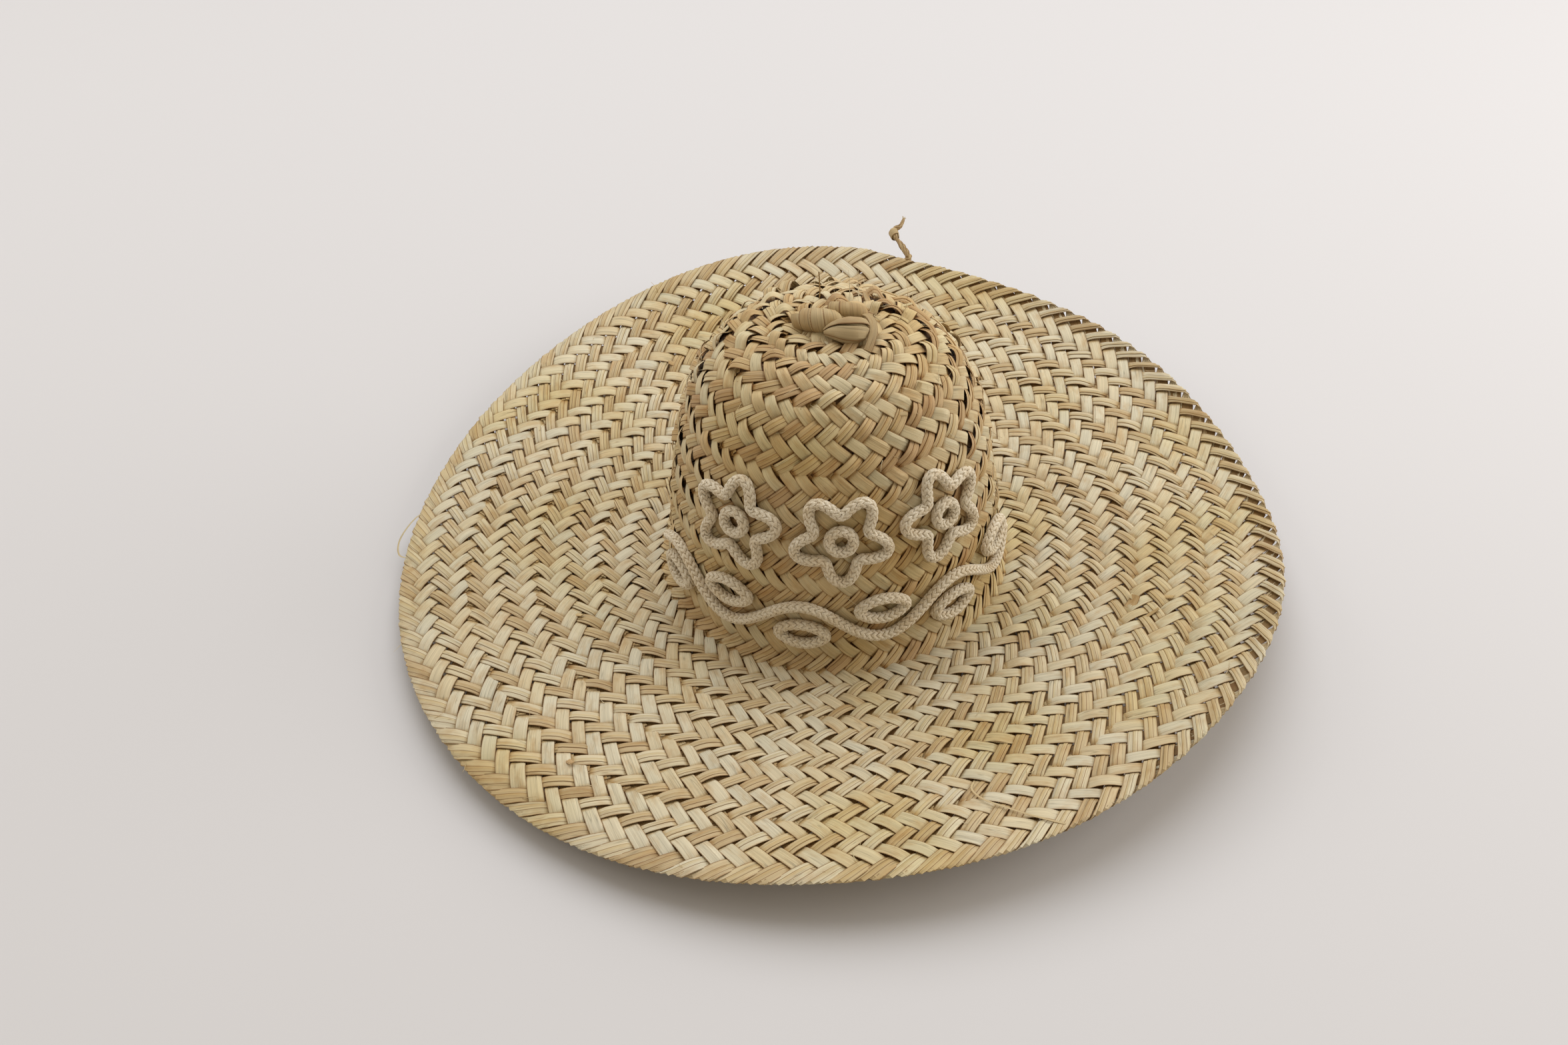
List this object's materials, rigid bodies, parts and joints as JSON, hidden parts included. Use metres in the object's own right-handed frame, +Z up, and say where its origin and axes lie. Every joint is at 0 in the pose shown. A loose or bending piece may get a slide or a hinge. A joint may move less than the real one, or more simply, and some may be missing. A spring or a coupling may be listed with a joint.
{
  "type": "straw hat",
  "caption": "Wide-brimmed plaited straw hat with a tall rounded crown, a wavy brim, a twisted knot on top and knitted cord motifs sewn round the front of the crown.",
  "frame": {"origin": "on the floor under the middle of the hat's own box, hat resting brim down", "axes": "+Z up through the crown, -Y towards the front of the hat with the sewn cord, +X to the right in the front view"},
  "size_m": [0.5138, 0.546, 0.1755],
  "materials": {
    "plaited_leaf": "dry matt palm leaf, pale tan to green-beige, fine ribs along each strand",
    "twisted_leaf": "dry matt palm leaf, twisted, slightly darker",
    "knitted_cord": "soft matt ecru cotton, knitted"
  },
  "bodies": {
    "root": {"crown": "plaited_leaf", "brim": "plaited_leaf", "top_knot": "twisted_leaf", "edge_tail": "twisted_leaf", "rosette_left": "knitted_cord", "rosette_middle": "knitted_cord", "rosette_right": "knitted_cord", "rosette_centre_left": "knitted_cord", "rosette_centre_middle": "knitted_cord", "rosette_centre_right": "knitted_cord", "vine": "knitted_cord", "vine_leaf_1": "knitted_cord", "vine_leaf_2": "knitted_cord", "vine_leaf_3": "knitted_cord", "vine_leaf_4": "knitted_cord", "vine_leaf_5": "knitted_cord", "vine_leaf_6": "knitted_cord"}
  },
  "joints": []
}
